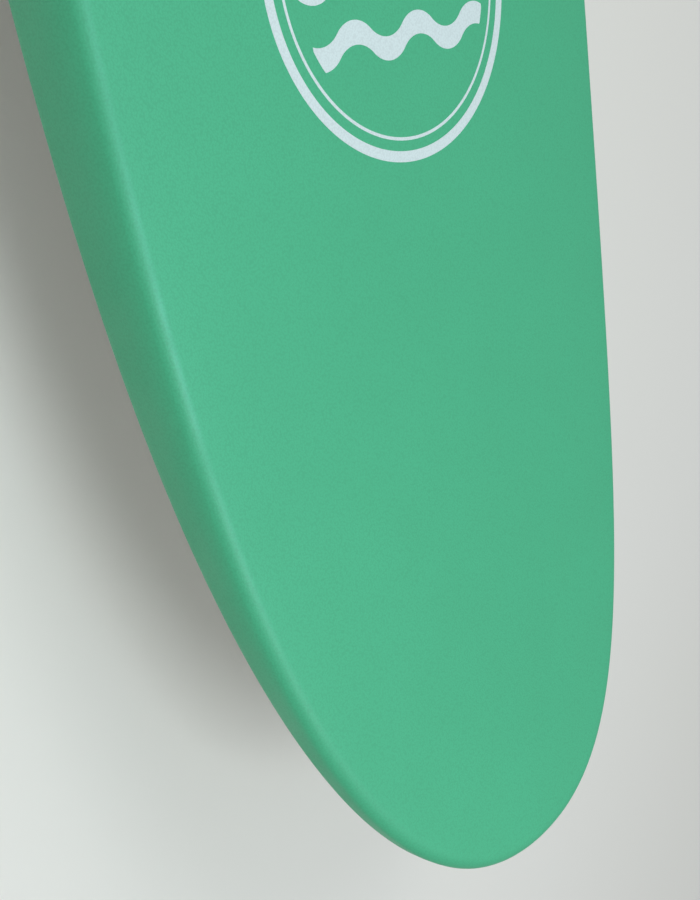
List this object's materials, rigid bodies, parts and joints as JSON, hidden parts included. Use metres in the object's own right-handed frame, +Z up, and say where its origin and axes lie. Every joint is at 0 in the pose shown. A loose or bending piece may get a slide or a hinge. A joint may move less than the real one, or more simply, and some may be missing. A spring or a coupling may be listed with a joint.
{
  "type": "longboard surfboard",
  "caption": "Soft-top longboard: foam skin over a light stringered core, slick bottom, sliding centre fin in a slotted box, small side fins and a leash plug in the tail.",
  "frame": {"origin": "middle of the flat panel of the bottom, amidships", "axes": "+X to the nose along the length, +Y to the port rail, +Z up out of the deck"},
  "size_m": [2.743, 0.5842, 0.2833],
  "materials": {
    "deck_foam": "matte",
    "print_film": "matte",
    "slick_sheet": "satin",
    "liner_foam": "matte",
    "core_foam": "matte",
    "dense_foam": "matte",
    "plywood": "matte",
    "box_plastic": "satin",
    "fin_plastic": "satin",
    "cup_plastic": "satin",
    "fastener_steel": "satin",
    "plate_brass": "satin"
  },
  "bodies": {
    "board": {"bottom_liner": "liner_foam", "core_centre": "core_foam", "core_left": "core_foam", "core_right": "core_foam", "deck_skin": "deck_foam", "emblem_rings": "print_film", "emblem_waves": "print_film", "fin_box": "box_plastic", "fin_box_block": "dense_foam", "grub_screws_left": "fastener_steel", "grub_screws_right": "fastener_steel", "leash_bar": "fastener_steel", "leash_block": "dense_foam", "leash_cup": "cup_plastic", "plug_block_left": "dense_foam", "plug_block_right": "dense_foam", "side_fin_left": "fin_plastic", "side_fin_right": "fin_plastic", "side_plugs_left": "box_plastic", "side_plugs_right": "box_plastic", "slick_bottom": "slick_sheet", "stringer_left": "plywood", "stringer_right": "plywood"},
    "centre_fin": {"centre_fin": "fin_plastic", "fin_pin": "fastener_steel"},
    "fin_screw": {"fin_screw": "fastener_steel"},
    "fin_plate": {"fin_plate": "plate_brass"}
  },
  "joints": [
    {"name": "centre_fin_slide", "type": "slide", "parent": "board", "child": "centre_fin", "axis": [0.9947, 0, -0.1032], "range_m": [-0.033, 0.033]},
    {"name": "fin_screw_turn", "type": "hinge", "parent": "centre_fin", "child": "fin_screw", "pos_m": [-1.03844, 0, 0.04543], "axis": [-0.1032, 0, -0.9947], "range_deg": [0, 540]},
    {"name": "fin_plate_travel", "type": "slide", "parent": "centre_fin", "child": "fin_plate", "axis": [0.1032, 0, 0.9947], "range_m": [0, 0.00119]}
  ],
  "couplings": [
    {"joint": "fin_screw_turn", "follows": "fin_plate_travel", "rad_per_m": 7913.3}
  ]
}
